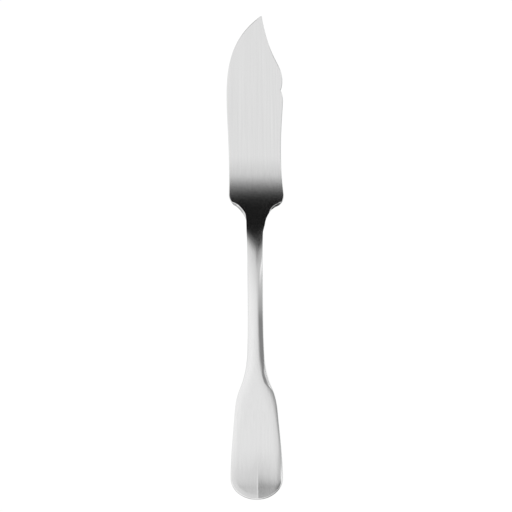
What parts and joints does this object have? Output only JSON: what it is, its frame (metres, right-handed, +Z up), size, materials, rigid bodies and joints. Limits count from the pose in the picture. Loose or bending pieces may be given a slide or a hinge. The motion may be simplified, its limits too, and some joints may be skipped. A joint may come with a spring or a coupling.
{
  "type": "fish knife",
  "caption": "Table fish knife of satin steel: a broad pointed blade with a notched back, a cranked neck, a slender stem and a fiddle-shaped handle.",
  "frame": {"origin": "on the table under the middle of the knife's outline", "axes": "+Y along the knife from the handle's end to the point, +Z up from the table, +X towards the notched back of the blade"},
  "size_m": [0.024, 0.205, 0.012],
  "materials": {
    "satin_blade": "satin stainless steel, brushed along the length",
    "satin_handle": "satin stainless steel, brushed along the length",
    "braze_metal": "pale silver brazing metal, inside the joint"
  },
  "bodies": {
    "root": {"blade": "satin_blade", "handle": "satin_handle", "braze_filler": "braze_metal"}
  },
  "joints": []
}
